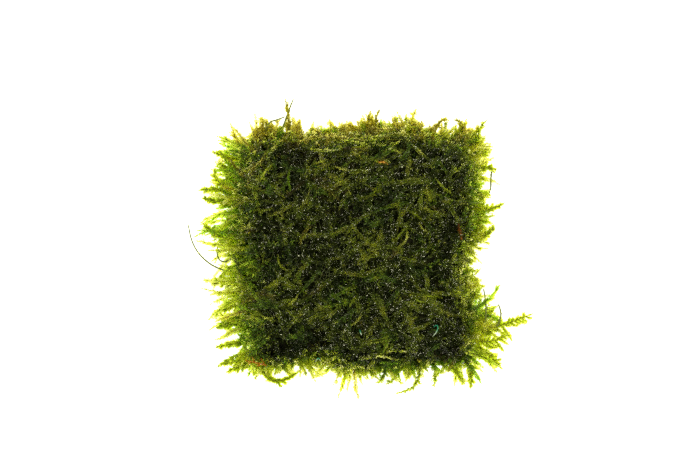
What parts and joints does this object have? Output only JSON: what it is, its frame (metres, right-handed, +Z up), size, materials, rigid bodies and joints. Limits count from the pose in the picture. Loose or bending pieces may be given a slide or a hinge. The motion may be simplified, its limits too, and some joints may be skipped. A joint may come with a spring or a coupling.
{
  "type": "moss mat",
  "caption": "Square mat of wet aquarium moss with a flat underside, a low tangled top and loose leafy shoots standing out all round its edge.",
  "frame": {"origin": "middle of the mat's flat underside", "axes": "+Z up out of the mat's top, +X to the right and +Y to the far edge as seen from above, along the mat's sides"},
  "size_m": [0.1123, 0.0957, 0.0114],
  "materials": {
    "dark_moss": "dense tangle of tiny wet leaves, dark green with fine sparkles",
    "fresh_frond": "thin see-through leaves, yellow-green, wet",
    "brown_stem": "thin olive to red-brown stem, slightly wet",
    "dead_leaf": "dead orange-brown leaves",
    "green_thread": "smooth blue-green binding thread"
  },
  "bodies": {
    "root": {"bottom_comb_sprig": "fresh_frond", "bottom_hanging_sprig": "fresh_frond", "bottom_left_bowed_stem": "brown_stem", "bottom_long_sprig": "fresh_frond", "bottom_middle_sprig": "fresh_frond", "bottom_right_frond": "fresh_frond", "corner_drooping_frond": "fresh_frond", "corner_long_sprig": "fresh_frond", "dead_sprig": "dead_leaf", "feather_frond": "fresh_frond", "inner_upright_stem": "brown_stem", "left_arching_stem": "brown_stem", "left_frond_1": "fresh_frond", "left_frond_10": "fresh_frond", "left_frond_2": "fresh_frond", "left_frond_3": "fresh_frond", "left_frond_4": "fresh_frond", "left_frond_5": "fresh_frond", "left_frond_6": "fresh_frond", "left_frond_7": "fresh_frond", "left_frond_8": "fresh_frond", "left_frond_9": "fresh_frond", "left_looped_stem": "brown_stem", "low_left_lower_frond": "fresh_frond", "low_left_upper_frond": "fresh_frond", "lower_feather_frond": "fresh_frond", "lower_right_frond": "fresh_frond", "moss_mat": "dark_moss", "orange_sprig": "dead_leaf", "outer_upright_stem": "brown_stem", "red_stem": "brown_stem", "right_hanging_stem": "brown_stem", "right_middle_frond": "fresh_frond", "right_ragged_frond": "fresh_frond", "right_small_frond": "fresh_frond", "right_square_frond": "fresh_frond", "right_upper_frond": "fresh_frond", "thread_edge_loop": "green_thread", "thread_end": "green_thread", "thread_hook": "green_thread", "top_curled_sprig": "fresh_frond", "top_forked_sprig": "fresh_frond", "top_forked_sprig_branch": "brown_stem", "top_left_bowed_stem": "brown_stem", "top_left_sprig": "fresh_frond", "top_middle_left_sprig": "fresh_frond", "top_middle_right_sprig": "fresh_frond", "top_right_sprig": "fresh_frond"}
  },
  "joints": []
}
